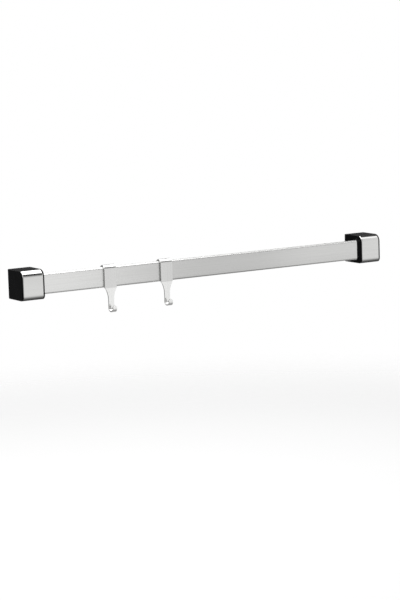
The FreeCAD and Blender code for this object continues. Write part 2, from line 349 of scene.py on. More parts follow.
def merged_copy(name, node, material):
    """A piece with a CAD node's own form, its loose triangles joined into one surface."""
    mesh = bpy.data.meshes.new(name)
    shape = bmesh.new()
    shape.from_mesh(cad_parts[node].data)
    bmesh.ops.remove_doubles(shape, verts=shape.verts, dist=MERGE_DISTANCE)
    bmesh.ops.dissolve_limit(
        shape, angle_limit=FLAT_ANGLE, verts=shape.verts, edges=shape.edges
    )
    shape.to_mesh(mesh)
    shape.free()
    mesh.materials.clear()
    mesh.materials.append(material)
    piece = bpy.data.objects.new(name, mesh)
    bpy.context.scene.collection.objects.link(piece)
    return piece


def seat(piece, body, slot, *nodes):
    """Lets a piece stand for CAD nodes, which are hidden, and ride on their body. The slot, a
    finish's name, is not used.
    """
    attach(piece, body)
    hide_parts(*nodes)


# Starting meshes


def point_mesh(name, points):
    mesh = bpy.data.meshes.new(name)
    mesh.from_pydata(points, [], [])
    return mesh


def path_mesh(name, points):
    """A chain of edges through points."""
    mesh = bpy.data.meshes.new(name)
    links = [(i, i + 1) for i in range(len(points) - 1)]
    mesh.from_pydata(points, links, [])
    return mesh


def arc(centre, radius, start, end, steps):
    """(Y, Z) points on an arc, its angles in degrees from -Y towards +Z."""
    points = []
    for step in range(steps + 1):
        turn = math.radians(start + (end - start) * step / steps)
        y = centre[0] - radius * math.cos(turn)
        z = centre[1] + radius * math.sin(turn)
        points.append((y, z))
    return points


def run(start, end, steps):
    """(Y, Z) points on a straight run, without its first one."""
    points = []
    for step in range(1, steps + 1):
        part = step / steps
        points.append(tuple(a + (b - a) * part for a, b in zip(start, end)))
    return points


# Shape trees


def rail_tree():
    """A hollow section with rounded edges, drawn out along X."""
    names = ("Length", "Height", "Thickness", "Edge Radius", "Wall")
    nodes, given = new_shape_tree("Rail tube", names)
    twice_wall = nodes.maths("MULTIPLY", given["Wall"], 2.0)
    outlines = nodes.add("GeometryNodeJoinGeometry")
    for inset, wall in ((0.0, 0.0), (twice_wall, given["Wall"])):
        outline = nodes.add(
            "GeometryNodeCurvePrimitiveQuadrilateral",
            {
                "Width": nodes.maths("SUBTRACT", given["Thickness"], inset),
                "Height": nodes.maths("SUBTRACT", given["Height"], inset),
            },
        )
        rounded = nodes.add(
            "GeometryNodeFilletCurve",
            {
                "Curve": outline,
                "Radius": nodes.maths("SUBTRACT", given["Edge Radius"], wall),
                "Count": TUBE_EDGE_STEPS,
            },
            mode="POLY",
        )
        nodes.tree.links.new(rounded.outputs[0], outlines.inputs[0])
    section = nodes.add("GeometryNodeFillCurve", {"Curve": outlines})
    half = nodes.maths("MULTIPLY", given["Length"], -0.5)
    placed = nodes.add(
        "GeometryNodeTransform",
        {
            "Geometry": section,
            "Translation": nodes.vector(half, 0.0, 0.0),
            "Rotation": Euler((math.pi / 2, 0, math.pi / 2)),
        },
    )
    drawn = nodes.add(
        "GeometryNodeExtrudeMesh",
        {
            "Mesh": placed,
            "Offset": nodes.vector(1.0, 0.0, 0.0),
            "Offset Scale": given["Length"],
            "Individual": False,
        },
    )
    first_end = nodes.add("GeometryNodeFlipFaces", {"Mesh": placed})
    whole = nodes.add("GeometryNodeJoinGeometry")
    for part in (drawn, first_end):
        nodes.tree.links.new(part.outputs[0], whole.inputs[0])
    closed = nodes.add(
        "GeometryNodeMergeByDistance", {"Geometry": whole, "Distance": MERGE_DISTANCE}
    )
    return end_shape_tree(nodes, given, closed)


def follow_path(nodes, path, section, capped):
    """Sweeps a section along a path that lies across X, with the section's own X along X."""
    line = nodes.add("GeometryNodeMeshToCurve", {"Mesh": path})
    level = nodes.add(
        "GeometryNodeSetCurveNormal", {"Curve": line, "Normal": (1.0, 0.0, 0.0)}, mode="FREE"
    )
    return nodes.add(
        "GeometryNodeCurveToMesh",
        {"Curve": level, "Profile Curve": section, "Scale": 1.0, "Fill Caps": capped},
    )


def plate_tree():
    """A channel section, its sides turned in, that follows the bracket's profile."""
    nodes, given = new_shape_tree("Pressed plate", ("Width", "Flange", "Edge Radius"))
    chain = nodes.add("GeometryNodeMeshLine", {"Count": 4})
    index = nodes.add("GeometryNodeInputIndex")
    right_half = nodes.maths("GREATER_THAN", index, 1.5)
    side = nodes.maths("SUBTRACT", right_half, 0.5)
    from_middle = nodes.maths("ABSOLUTE", nodes.maths("SUBTRACT", index, 1.5))
    is_end = nodes.maths("GREATER_THAN", from_middle, 1.0)
    corners = nodes.add(
        "GeometryNodeSetPosition",
        {
            "Geometry": chain,
            "Position": nodes.vector(
                nodes.maths("MULTIPLY", side, given["Width"]),
                nodes.maths("MULTIPLY", nodes.maths("MULTIPLY", is_end, given["Flange"]), -1.0),
                0.0,
            ),
        },
    )
    channel = nodes.add("GeometryNodeMeshToCurve", {"Mesh": corners})
    rounded = nodes.add(
        "GeometryNodeFilletCurve",
        {"Curve": channel, "Radius": given["Edge Radius"], "Count": PLATE_EDGE_STEPS},
        mode="POLY",
    )
    swept = follow_path(nodes, given["Geometry"], rounded, False)
    facing_out = nodes.add("GeometryNodeFlipFaces", {"Mesh": swept})
    return end_shape_tree(nodes, given, facing_out)


def strip_tree():
    """A flat strip that follows a path, its width given at each point of the path."""
    nodes, given = new_shape_tree("Bent strip", ("Width", "Thickness", "Edge Radius"))
    outline = nodes.add(
        "GeometryNodeCurvePrimitiveQuadrilateral",
        {"Width": given["Width"], "Height": given["Thickness"]},
    )
    rounded = nodes.add(
        "GeometryNodeFilletCurve",
        {"Curve": outline, "Radius": given["Edge Radius"], "Count": STRIP_EDGE_STEPS},
        mode="POLY",
    )
    swept = follow_path(nodes, given["Geometry"], rounded, True)
    wanted = nodes.add("GeometryNodeInputNamedAttribute", {"Name": HALF_WIDTH}, data_type="FLOAT")
    place = nodes.add("ShaderNodeSeparateXYZ", {0: nodes.add("GeometryNodeInputPosition")})
    half = nodes.maths("MULTIPLY", given["Width"], 0.5)
    change = nodes.maths("SUBTRACT", wanted, half)
    shift = nodes.maths("MULTIPLY", nodes.maths("SIGN", place), change)
    drawn_in = nodes.add(
        "GeometryNodeSetPosition", {"Geometry": swept, "Offset": nodes.vector(shift, 0.0, 0.0)}
    )
    return end_shape_tree(nodes, given, drawn_in)


def screw_tree():
    """A threaded set screw with a hexagon socket below, one at each point."""
    names = (
        "Radius",
        "Length",
        "Pitch",
        "Thread Depth",
        "Chamfer",
        "Socket Radius",
        "Socket Depth",
    )
    nodes, given = new_shape_tree("Set screws", names)
    end_radius = nodes.maths("SUBTRACT", given["Radius"], given["Chamfer"])
    # The side: a cylinder whose radius follows the thread, drawn in at both ends
    side = nodes.add(
        "GeometryNodeMeshCylinder",
        {
            "Vertices": SCREW_STEPS_ROUND,
            "Side Segments": SCREW_STEPS_UP,
            "Radius": given["Radius"],
            "Depth": given["Length"],
        },
        fill_type="NONE",
    )
    place = nodes.add("ShaderNodeSeparateXYZ", {0: nodes.add("GeometryNodeInputPosition")})
    x, y, z = place.outputs
    half_length = nodes.maths("MULTIPLY", given["Length"], 0.5)
    height = nodes.maths("ADD", z, half_length)
    turn = nodes.maths("DIVIDE", nodes.maths("ARCTAN2", y, x), 2 * math.pi)
    turns = nodes.maths("SUBTRACT", nodes.maths("DIVIDE", height, given["Pitch"]), turn)
    wave = nodes.maths("MULTIPLY", nodes.maths("PINGPONG", turns, 0.5), 2.0)
    groove = nodes.maths("MULTIPLY", wave, given["Thread Depth"])
    from_end = nodes.maths("SUBTRACT", half_length, nodes.maths("ABSOLUTE", z))
    limit = nodes.maths("ADD", end_radius, from_end)
    threaded = nodes.maths("SUBTRACT", given["Radius"], groove)
    at_end = nodes.maths("LESS_THAN", from_end, MERGE_DISTANCE)
    inside = nodes.maths("MINIMUM", threaded, limit)
    held = nodes.maths("MULTIPLY", at_end, nodes.maths("SUBTRACT", end_radius, inside))
    radius = nodes.maths("ADD", inside, held)
    share_of_radius = nodes.maths("DIVIDE", radius, given["Radius"])
    shaped = nodes.add(
        "GeometryNodeSetPosition",
        {
            "Geometry": side,
            "Position": nodes.vector(
                nodes.maths("MULTIPLY", x, share_of_radius),
                nodes.maths("MULTIPLY", y, share_of_radius),
                height,
            ),
        },
    )
    # The ends: a flat disc on top, and a ring round the socket below
    rim = nodes.add(
        "GeometryNodeCurvePrimitiveCircle",
        {"Resolution": SCREW_STEPS_ROUND, "Radius": end_radius},
    )
    hexagon = nodes.add(
        "GeometryNodeCurvePrimitiveCircle", {"Resolution": 6, "Radius": given["Socket Radius"]}
    )
    disc = nodes.add("GeometryNodeFillCurve", {"Curve": rim})
    top = nodes.add(
        "GeometryNodeTransform",
        {"Geometry": disc, "Translation": nodes.vector(0.0, 0.0, given["Length"])},
    )
    both = nodes.add("GeometryNodeJoinGeometry")
    for curve in (rim, hexagon):
        nodes.tree.links.new(curve.outputs[0], both.inputs[0])
    ring = nodes.add("GeometryNodeFillCurve", {"Curve": both})
    socket_face = nodes.add("GeometryNodeFillCurve", {"Curve": hexagon}, mode="NGONS")
    socket = nodes.add(
        "GeometryNodeExtrudeMesh",
        {
            "Mesh": socket_face,
            "Offset": nodes.vector(0.0, 0.0, 1.0),
            "Offset Scale": given["Socket Depth"],
            "Individual": False,
        },
    )
    lower = nodes.add("GeometryNodeJoinGeometry")
    for part in (ring, socket):
        nodes.tree.links.new(part.outputs[0], lower.inputs[0])
    facing_down = nodes.add("GeometryNodeFlipFaces", {"Mesh": lower})
    whole = nodes.add("GeometryNodeJoinGeometry")
    for part in (shaped, top, facing_down):
        nodes.tree.links.new(part.outputs[0], whole.inputs[0])
    closed = nodes.add(
        "GeometryNodeMergeByDistance", {"Geometry": whole, "Distance": MERGE_DISTANCE}
    )
    screws = nodes.add(
        "GeometryNodeInstanceOnPoints", {"Points": given["Geometry"], "Instance": closed}
    )
    return end_shape_tree(nodes, given, screws)


# Materials


def new_finish(name, base, metallic, roughness):
    """A material with one main shader. Returns it with its builder and the shader."""
    material = bpy.data.materials.new(name)
    material.use_nodes = True
    material.node_tree.nodes.clear()
    nodes = Nodes(material.node_tree)
    shader = nodes.add(
        "ShaderNodeBsdfPrincipled",
        {"Base Color": (*base, 1.0), "Metallic": metallic, "Roughness": roughness},
    )
    nodes.add("ShaderNodeOutputMaterial", {"Surface": shader})
    return material, nodes, shader


# Noise lies mostly between these two values
NOISE_LOW, NOISE_HIGH = 0.3, 0.7

# Patterns in features to the metre. Brushing: along the brush, across it, and its detail
BANDS = (2.0, 160.0, 0.0)
STREAKS = (8.0, 2400.0, 1.0)
SCRATCHES = (60.0, 7000.0, 1.0)
# Other patterns: along X, Y and Z, and the detail
MOULDING_FLOW = ((90.0, 90.0, 90.0), 3.0)
MOULDING_GRAIN = ((2500.0, 2500.0, 2500.0), 2.0)
ZINC_MOTTLE = ((240.0, 240.0, 240.0), 4.0)
ZINC_ROLLING = ((30.0, 1800.0, 1800.0), 2.0)
TURNING_RINGS = ((40.0, 40.0, 5000.0), 2.0)
TURNING_STAIN = ((400.0, 400.0, 400.0), 3.0)
# How far each pattern darkens and lightens its finish, as a share of the colour
BANDS_TONE = 0.015
STREAKS_TONE = 0.05
FLOW_TONE = 0.25
MOTTLE_TONE = 0.10
STAIN_TONE = 0.12
# How deep each finish's relief is, and how strongly it shows
SCRATCHES_RELIEF = (0.004 * MM, 0.5)
ROLLING_RELIEF = (0.01 * MM, 0.4)
RINGS_RELIEF = (0.008 * MM, 0.5)
HOUSING_GRAIN = (0.002 * MM, 0.6)
PLUG_GRAIN = (0.02 * MM, 0.6)
# How far a finish's roughness goes below and above the one it is given
ROUGHNESS_SPREAD = (0.85, 1.15)
TURNED_SPREAD = (0.8, 1.3)
# How strongly the moulded plastic mirrors, where 0.5 is a common gloss
MOULDED_SHINE = 0.03
# How dull the zinc is at least, on the whole and at most
ZINC_ROUGHNESS = (0.30, 0.38, 0.48)
# How dull the small pieces are
SCREW_ROUGHNESS = 0.32
BRASS_ROUGHNESS = 0.28
PLUG_ROUGHNESS = 0.55


def pattern(nodes, scale, detail):
    """Noise on the piece's own coordinates, with this many features to the metre on X, Y, Z."""
    place = nodes.add("ShaderNodeTexCoord").outputs["Object"]
    stretched = nodes.add("ShaderNodeMapping", {"Vector": place, "Scale": scale})
    noise = nodes.add("ShaderNodeTexNoise", {"Vector": stretched, "Scale": 1.0, "Detail": detail})
    return noise.outputs[0]


def shaded(nodes, base, shade):
    """A colour times a shade."""
    node = nodes.add("ShaderNodeVectorMath", {"Scale": shade}, operation="SCALE")
    nodes.fill(node.inputs[0], base)
    return node.outputs[0]


def follow(nodes, noise, at_low, at_high):
    """A number that goes from one value to another with a pattern's noise."""
    return nodes.ramp(noise, NOISE_LOW, NOISE_HIGH, at_low, at_high)


def tone(nodes, base, noise, depth):
    """A colour, made darker and lighter with a pattern by this share of itself."""
    return shaded(nodes, base, follow(nodes, noise, 1 - depth, 1 + depth))


def paint_light_along(nodes, base, axis, steps):
    """A colour with light and shade painted along an axis, in smooth steps of start, end and
    change.
    """
    place = nodes.add("ShaderNodeTexCoord").outputs["Object"]
    along = nodes.add("ShaderNodeSeparateXYZ", {0: place}).outputs[axis]
    shade = 1.0
    for start, end, change in steps:
        step = nodes.ramp(along, start, end, 0.0, change, smooth=True)
        shade = nodes.maths("ADD", shade, step)
    return shaded(nodes, base, shade)


def spread_roughness(nodes, shader, noise, roughness, spread):
    """Lets the shader's roughness follow a pattern, between two shares of itself."""
    least, most = spread
    dullness = follow(nodes, noise, roughness * least, roughness * most)
    nodes.fill(shader.inputs["Roughness"], dullness)


def raise_surface(nodes, shader, height, depth, strength):
    """Gives the shader a bump of this depth in metres."""
    bump = nodes.add(
        "ShaderNodeBump", {"Height": height, "Distance": depth, "Strength": strength}
    )
    nodes.fill(shader.inputs["Normal"], bump)


def brushed_steel(name, base, roughness, along, axis="X", steps=()):
    """Steel brushed along some axes: soft bands, streaks and fine scratches.

    along has a 1 for each axis that the brush ran along and 0 for the others.
    Light and shade are painted into the steel's colour along the axis, in these steps.
    """
    material, nodes, shader = new_finish(name, base, 1.0, roughness)

    def brushed(lengthways, across, detail):
        scale = tuple(lengthways if is_along else across for is_along in along)
        return pattern(nodes, scale, detail)

    bands = brushed(*BANDS)
    streaks = brushed(*STREAKS)
    scratches = brushed(*SCRATCHES)
    # Painted light and shade along the axis, under the brushing's random bands
    tinted = tone(nodes, paint_light_along(nodes, base, axis, steps), bands, BANDS_TONE)
    nodes.fill(shader.inputs["Base Color"], tone(nodes, tinted, streaks, STREAKS_TONE))
    spread_roughness(nodes, shader, streaks, roughness, ROUGHNESS_SPREAD)
    raise_surface(nodes, shader, scratches, *SCRATCHES_RELIEF)
    return material


def moulded_plastic(name, base, roughness, grain_relief):
    """Moulded plastic: a fine grain and a faint unevenness of the gloss."""
    material, nodes, shader = new_finish(name, base, 0.0, roughness)
    flow = pattern(nodes, *MOULDING_FLOW)
    grain = pattern(nodes, *MOULDING_GRAIN)
    nodes.fill(shader.inputs["Base Color"], tone(nodes, base, flow, FLOW_TONE))
    spread_roughness(nodes, shader, flow, roughness, ROUGHNESS_SPREAD)
    nodes.fill(shader.inputs["Specular IOR Level"], MOULDED_SHINE)
    raise_surface(nodes, shader, grain, *grain_relief)
    return material


def plated_sheet(name, base):
    """Zinc on sheet steel: rolling lines under a mottled, slightly bluish coat."""
    least, usual, most = ZINC_ROUGHNESS
    material, nodes, shader = new_finish(name, base, 1.0, usual)
    mottle = pattern(nodes, *ZINC_MOTTLE)
    rolling = pattern(nodes, *ZINC_ROLLING)
    nodes.fill(shader.inputs["Base Color"], tone(nodes, base, mottle, MOTTLE_TONE))
    nodes.fill(shader.inputs["Roughness"], follow(nodes, mottle, least, most))
    raise_surface(nodes, shader, rolling, *ROLLING_RELIEF)
    return material


def turned_metal(name, base, roughness):
    """Turned metal: fine tool rings up the piece, which stands along Z."""
    material, nodes, shader = new_finish(name, base, 1.0, roughness)
    rings = pattern(nodes, *TURNING_RINGS)
    stain = pattern(nodes, *TURNING_STAIN)
    nodes.fill(shader.inputs["Base Color"], tone(nodes, base, stain, STAIN_TONE))
    spread_roughness(nodes, shader, rings, roughness, TURNED_SPREAD)
    raise_surface(nodes, shader, rings, *RINGS_RELIEF)
    return material


def paint_node(name, material):
    """Gives a CAD node its finish, in all its material slots."""
    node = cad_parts[name]
    for slot in node.material_slots:
        slot.link = "DATA"
        slot.material = material


# Operators


class PieceOperator(bpy.types.Operator):
    """What all the operators here share."""

    bl_options = {"REGISTER", "UNDO"}

    @property
    def settings(self):
        return bpy.context.scene.utensil_rail


# Painted light and shade along the rail's X: painted shade darkens it from its pale left end
# towards the middle, and a little painted light brightens it again towards the right end.
# Each change gives where it starts and ends, in metres, and the share of the steel's colour that
# it adds
RAIL_PAINTED_LIGHT_AND_SHADE = ((-0.215, 0.01, -0.27), (0.05, 0.16, 0.10))


class UTENSILRAIL_OT_rail(PieceOperator):
    """Make the flat steel tube between the brackets"""

    bl_idname = "utensil_rail.rail"
    bl_label = "Rail Tube"

    def execute(self, context):
        sizes = self.settings.rail
        steel = brushed_steel(
            "rail steel", sizes.steel, sizes.roughness, (1, 0, 0), "X", RAIL_PAINTED_LIGHT_AND_SHADE
        )
        piece = make_shape(
            "rail_tube",
            bpy.data.meshes.new("rail_tube_start"),
            rail_tree(),
            {
                "Length": sizes.tube_length,
                "Height": sizes.height,
                "Thickness": sizes.thickness,
                "Edge Radius": sizes.edge_radius,
                "Wall": sizes.wall,
            },
            steel,
        )
        piece.data.transform(Matrix.Translation((rail_low + rail_high) / 2))
        shade_flats_and_bends(piece)
        seat(piece, "root", "rail_steel", "rail")
        return {"FINISHED"}


# Painted shade where a plate turns under: its tone falls from this height above the bracket's
# bottom to this one, in metres, and the share of the steel's colour that it adds
PLATE_PAINTED_SHADE = (0.0065, 0.0025, -0.6)
# The small bevel on the sheet's cut edges
CUT_EDGE_BEVEL = 0.12 * MM
CUT_EDGE_ANGLE = math.radians(60)


def plate_path(sizes):
    """The outside of a front plate, from its upper end down to its lower end."""
    front, top, bottom = housing_low.y, housing_high.z, housing_low.z
    upper = (front + sizes.top_curve, top - sizes.top_curve)
    lower = (front + sizes.bottom_curve, bottom + sizes.bottom_curve)
    outline = arc(upper, sizes.top_curve, math.degrees(sizes.upper_end), 0, TOP_CURVE_STEPS)
    lower_end = -math.degrees(sizes.lower_end)
    outline += arc(lower, sizes.bottom_curve, 0, lower_end, BOTTOM_CURVE_STEPS)
    return [(0.0, y, z) for y, z in outline]


class UTENSILRAIL_OT_front_plates(PieceOperator):
    """Make the two pressed steel plates on the front of the brackets"""

    bl_idname = "utensil_rail.front_plates"
    bl_label = "Front Plates"

    def execute(self, context):
        sizes = self.settings.plates
        start, end, change = PLATE_PAINTED_SHADE
        # The plates' painted shade at their lower end, set above the bracket's bottom
        fade = (housing_low.z + start, housing_low.z + end, change)
        steel = brushed_steel(
            "plate steel", sizes.steel, sizes.roughness, (1, 0, 0), "Z", (fade,)
        )
        tree = plate_tree()
        for side in SIDES:
            node = f"{side}_front_plate"
            low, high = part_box(node)
            piece = make_shape(
                f"{side}_pressed_plate",
                path_mesh(f"{side}_plate_path", plate_path(sizes)),
                tree,
                {"Width": sizes.width, "Flange": sizes.flange, "Edge Radius": sizes.edge_radius},
                steel,
            )
            add_modifier(
                piece, "SOLIDIFY", thickness=sizes.sheet, offset=-1.0, use_even_offset=True
            )
            add_modifier(
                piece,
                "BEVEL",
                width=CUT_EDGE_BEVEL,
                segments=2,
                limit_method="ANGLE",
                angle_limit=CUT_EDGE_ANGLE,
            )
            make_plain(piece)
            piece.data.transform(Matrix.Translation(((low.x + high.x) / 2, 0.0, 0.0)))
            shade_flats_and_bends(piece)
            # The rail beside a plate keeps its brushed tone and doesn't mirror the plate
            piece.visible_glossy = False
            seat(piece, "root", "plate_steel", node)
        return {"FINISHED"}


# A strip is nowhere narrower than this many edge radii on each side of its middle
NARROWEST = 1.1


def strip_path(sizes, low, high):
    """A hook's middle line from its rear end to its tip, and half the strip's width there."""
    half_strip = sizes.strip / 2
    bend = sizes.bend + half_strip
    throat = sizes.throat + half_strip
    back_y = high.y - half_strip
    top_z = high.z - half_strip
    throat_centre = (low.y + throat + half_strip, low.z + throat + half_strip)
    front_y = throat_centre[0] + throat
    rear_end = rail_high.z - sizes.rear_leg
    taper_top = rail_low.z
    taper_end = taper_top - sizes.taper
    tip_z = throat_centre[1] + sizes.tip_rise
    back_bend = (back_y - bend, top_z - bend)
    front_bend = (front_y + bend, top_z - bend)
    corner_top = rear_end + sizes.rear_corner
    round_tip = tip_z - sizes.tip / 2
    outline = [(back_y, rear_end)]
    outline += run(outline[-1], (back_y, corner_top), CORNER_STEPS)
    outline += arc(back_bend, bend, 180, 90, BEND_STEPS)
    outline += arc(front_bend, bend, 90, 0, BEND_STEPS)
    outline += run(outline[-1], (front_y, taper_top), 1)
    outline += run(outline[-1], (front_y, taper_end), TAPER_STEPS)
    outline += arc(throat_centre, throat, -180, 0, THROAT_STEPS)
    outline += run(outline[-1], (throat_centre[0] - throat, round_tip), 2)
    outline += run(outline[-1], (throat_centre[0] - throat, tip_z), CORNER_STEPS)

    half_full, half_neck, half_tip = sizes.width / 2, sizes.neck / 2, sizes.tip / 2
    draw_in = half_full - half_neck
    taper_radius = (draw_in ** 2 + sizes.taper ** 2) / (2 * draw_in)
    half_widths = []
    for y, z in outline:
        half = half_full
        if y < front_y - half_strip / 4 or z < taper_end:
            part = min(1.0, (front_y - y) / (2 * throat))
            half = half_neck + (half_tip - half_neck) * part
        elif z < taper_top and y < rail_low.y:
            rise = z - taper_end
            half = half_neck + taper_radius - math.sqrt(taper_radius ** 2 - rise ** 2)
        if y > rail_high.y and z < corner_top:
            left = sizes.rear_corner - (z - rear_end)
            half -= sizes.rear_corner - math.sqrt(max(0.0, sizes.rear_corner ** 2 - left ** 2))
        if y < throat_centre[0] and z > round_tip:
            half = math.sqrt(max(0.0, half_tip ** 2 - (z - round_tip) ** 2))
        half_widths.append(max(half, NARROWEST * sizes.edge_radius))
    return outline, half_widths


class UTENSILRAIL_OT_hooks(PieceOperator):
    """Make the two bent strip hooks that slide along the rail"""

    bl_idname = "utensil_rail.hooks"
    bl_label = "Hooks"

    def execute(self, context):
        sizes = self.settings.hooks
        # Painted shade: the strip over the rail is darker than the lighter steel below it
        upper = (rail_low.z - MM, rail_low.z, -sizes.painted_shade_over_rail)
        steel = brushed_steel(
            "hook steel", sizes.steel, sizes.roughness, (0, 1, 1), "Z", (upper,)
        )
        tree = strip_tree()
        for side in SIDES:
            node = f"{side}_hook"
            low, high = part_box(node)
            outline, half_widths = strip_path(sizes, low, high)
            path = path_mesh(f"{side}_hook_path", [(0.0, y, z) for y, z in outline])
            width = path.attributes.new(HALF_WIDTH, "FLOAT", "POINT")
            width.data.foreach_set("value", half_widths)
            piece = make_shape(
                f"{side}_bent_hook",
                path,
                tree,
                {
                    "Width": sizes.width,
                    "Thickness": sizes.strip,
                    "Edge Radius": sizes.edge_radius,
                },
                steel,
            )
            piece.data.transform(Matrix.Translation(((low.x + high.x) / 2, 0.0, 0.0)))
            shade_flats_and_bends(piece)
            seat(piece, node, "hook_steel", node)
        return {"FINISHED"}


class UTENSILRAIL_OT_set_screws(PieceOperator):
    """Make the four threaded set screws under the brackets"""

    bl_idname = "utensil_rail.set_screws"
    bl_label = "Set Screws"

    def execute(self, context):
        sizes = self.settings.screws
        places = []
        for node in SCREW_NODES:
            low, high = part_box(node)
            places.append(((low.x + high.x) / 2, (low.y + high.y) / 2, low.z))
        piece = make_shape(
            "set_screws",
            point_mesh("set_screws_start", places),
            screw_tree(),
            {
                "Radius": sizes.radius,
                "Length": sizes.screw_length,
                "Pitch": sizes.pitch,
                "Thread Depth": sizes.thread,
                "Chamfer": sizes.chamfer,
                "Socket Radius": sizes.socket_radius,
                "Socket Depth": sizes.socket_depth,
            },
            turned_metal("screw steel", sizes.steel, SCREW_ROUGHNESS),
        )
        shade_flats_and_bends(piece)
        seat(piece, "root", "screw_steel", *SCREW_NODES)
        return {"FINISHED"}


class UTENSILRAIL_OT_mouldings(PieceOperator):
    """Make the black housings with softened edges, and finish the plugs in the rail's ends"""

    bl_idname = "utensil_rail.mouldings"
    bl_label = "Mouldings"

    def execute(self, context):
        colours = self.settings.mouldings
        gloss = moulded_plastic(
            "housing plastic", colours.housing, colours.housing_roughness, HOUSING_GRAIN
        )
        plug = moulded_plastic("plug plastic", colours.plug, PLUG_ROUGHNESS, PLUG_GRAIN)
        for side in SIDES:
            node = f"{side}_housing"
            piece = merged_copy(f"{side}_moulded_housing", node, gloss)
            shade_flats_and_bends(piece, CHAMFER_SMOOTH_ANGLE)
            # The rail beside a housing keeps its brushed tone and doesn't mirror the black
            piece.visible_glossy = False
            seat(piece, "root", "black_housing", node)
            paint_node(f"{side}_rail_plug", plug)
        return {"FINISHED"}


class UTENSILRAIL_OT_fittings(PieceOperator):
    """Finish the wall plates and the threaded bushes"""

    bl_idname = "utensil_rail.fittings"
    bl_label = "Fittings"

    def execute(self, context):
        colours = self.settings.fittings
        zinc = plated_sheet("zinc sheet", colours.zinc)
        brass = turned_metal("bush brass", colours.brass, BRASS_ROUGHNESS)
        for side in SIDES:
            paint_node(f"{side}_wall_plate", zinc)
            paint_node(f"{side}_lock_bush", brass)
            paint_node(f"{side}_clamp_bush", brass)
        return {"FINISHED"}


# Stage: the floor and the soft light, in metres
WHITE = (1.0, 1.0, 1.0, 1.0)
FLOOR_RADIUS = 1.5
FLOOR_STEPS = 96
# Where the floor starts to fade into the background, and where it is gone
FLOOR_FADE = (0.8, 1.45)
# What the camera sees on the floor beyond its own light
FLOOR_GLOW = 0.25
SOFTBOX_SIZE = (1.65, 1.67)
SOFTBOX_PLACE = (-0.10, 0.115, 1.05)
# The world's light on what isn't shiny
PLAIN_LIGHT = 0.45

# Dark flags round the studio, as shiny pieces mirror them. A direction is told by
# its X part and by its pitch about X: 0 is level into the room, 90 is up, 180 is
# level behind the wall and both -90 and 270 are down. Each flag has its reach
# across and its reach in pitch, each as where it starts, is full, is full until
# and ends, and then the share of the light that it takes away. A share below 0 is
# a lamp, which adds light.
FLAGS = {
    "line on the upper curves": ((-0.40, -0.25, 0.52, 0.56), (0, 43, 61, 66), 0.97),
    "over the right curve": ((0.50, 0.56, 1.0, 1.1), (88, 94, 140, 150), 0.95),
    "bright band on the right curve": ((0.50, 0.56, 0.75, 0.90), (58, 66, 84, 92), -0.5),
    "middle of the rail": ((0.46, 0.51, 0.54, 0.57), (-80, -30, 30, 60), 0.30),
    "housing tops": ((0.15, 0.35, 0.70, 0.90), (150, 160, 190, 200), 0.87),
    "left edges": ((-1.1, -1.0, -0.40, -0.15), (-91, -90, 10, 40), 0.60),
    "right edges": ((0.80, 0.90, 1.0, 1.1), (140, 160, 270, 271), 0.70),
    "left sides": ((-0.95, -0.75, -0.20, -0.05), (140, 155, 205, 225), 0.70),
    "undersides in front": ((-1.1, -1.0, 1.0, 1.1), (-91, -90, -85, -5), 0.75),
    "undersides behind": ((-1.1, -1.0, 1.0, 1.1), (200, 250, 270, 271), 0.60),
}

# Camera: where it stands, and how it is turned, in degrees
CAMERA_PLACE = (-1.3660, -2.2528, 0.3304)
CAMERA_YAW = 31.341
CAMERA_DOWN = 8.089
CAMERA_ROLL = -1.819
CAMERA_LENS = 132.48
CAMERA_CLIP = (0.1, 50.0)


def add_camera():
    camera = bpy.data.cameras.new("camera")
    camera.lens = CAMERA_LENS
    camera.clip_start, camera.clip_end = CAMERA_CLIP
    holder = bpy.data.objects.new("camera", camera)
    bpy.context.scene.collection.objects.link(holder)
    turned = (
        Matrix.Rotation(math.radians(-CAMERA_YAW), 4, "Z")
        @ Matrix.Rotation(math.radians(90 - CAMERA_DOWN), 4, "X")
        @ Matrix.Rotation(math.radians(CAMERA_ROLL), 4, "Z")
    )
    holder.matrix_world = Matrix.Translation(CAMERA_PLACE) @ turned
    bpy.context.scene.camera = holder


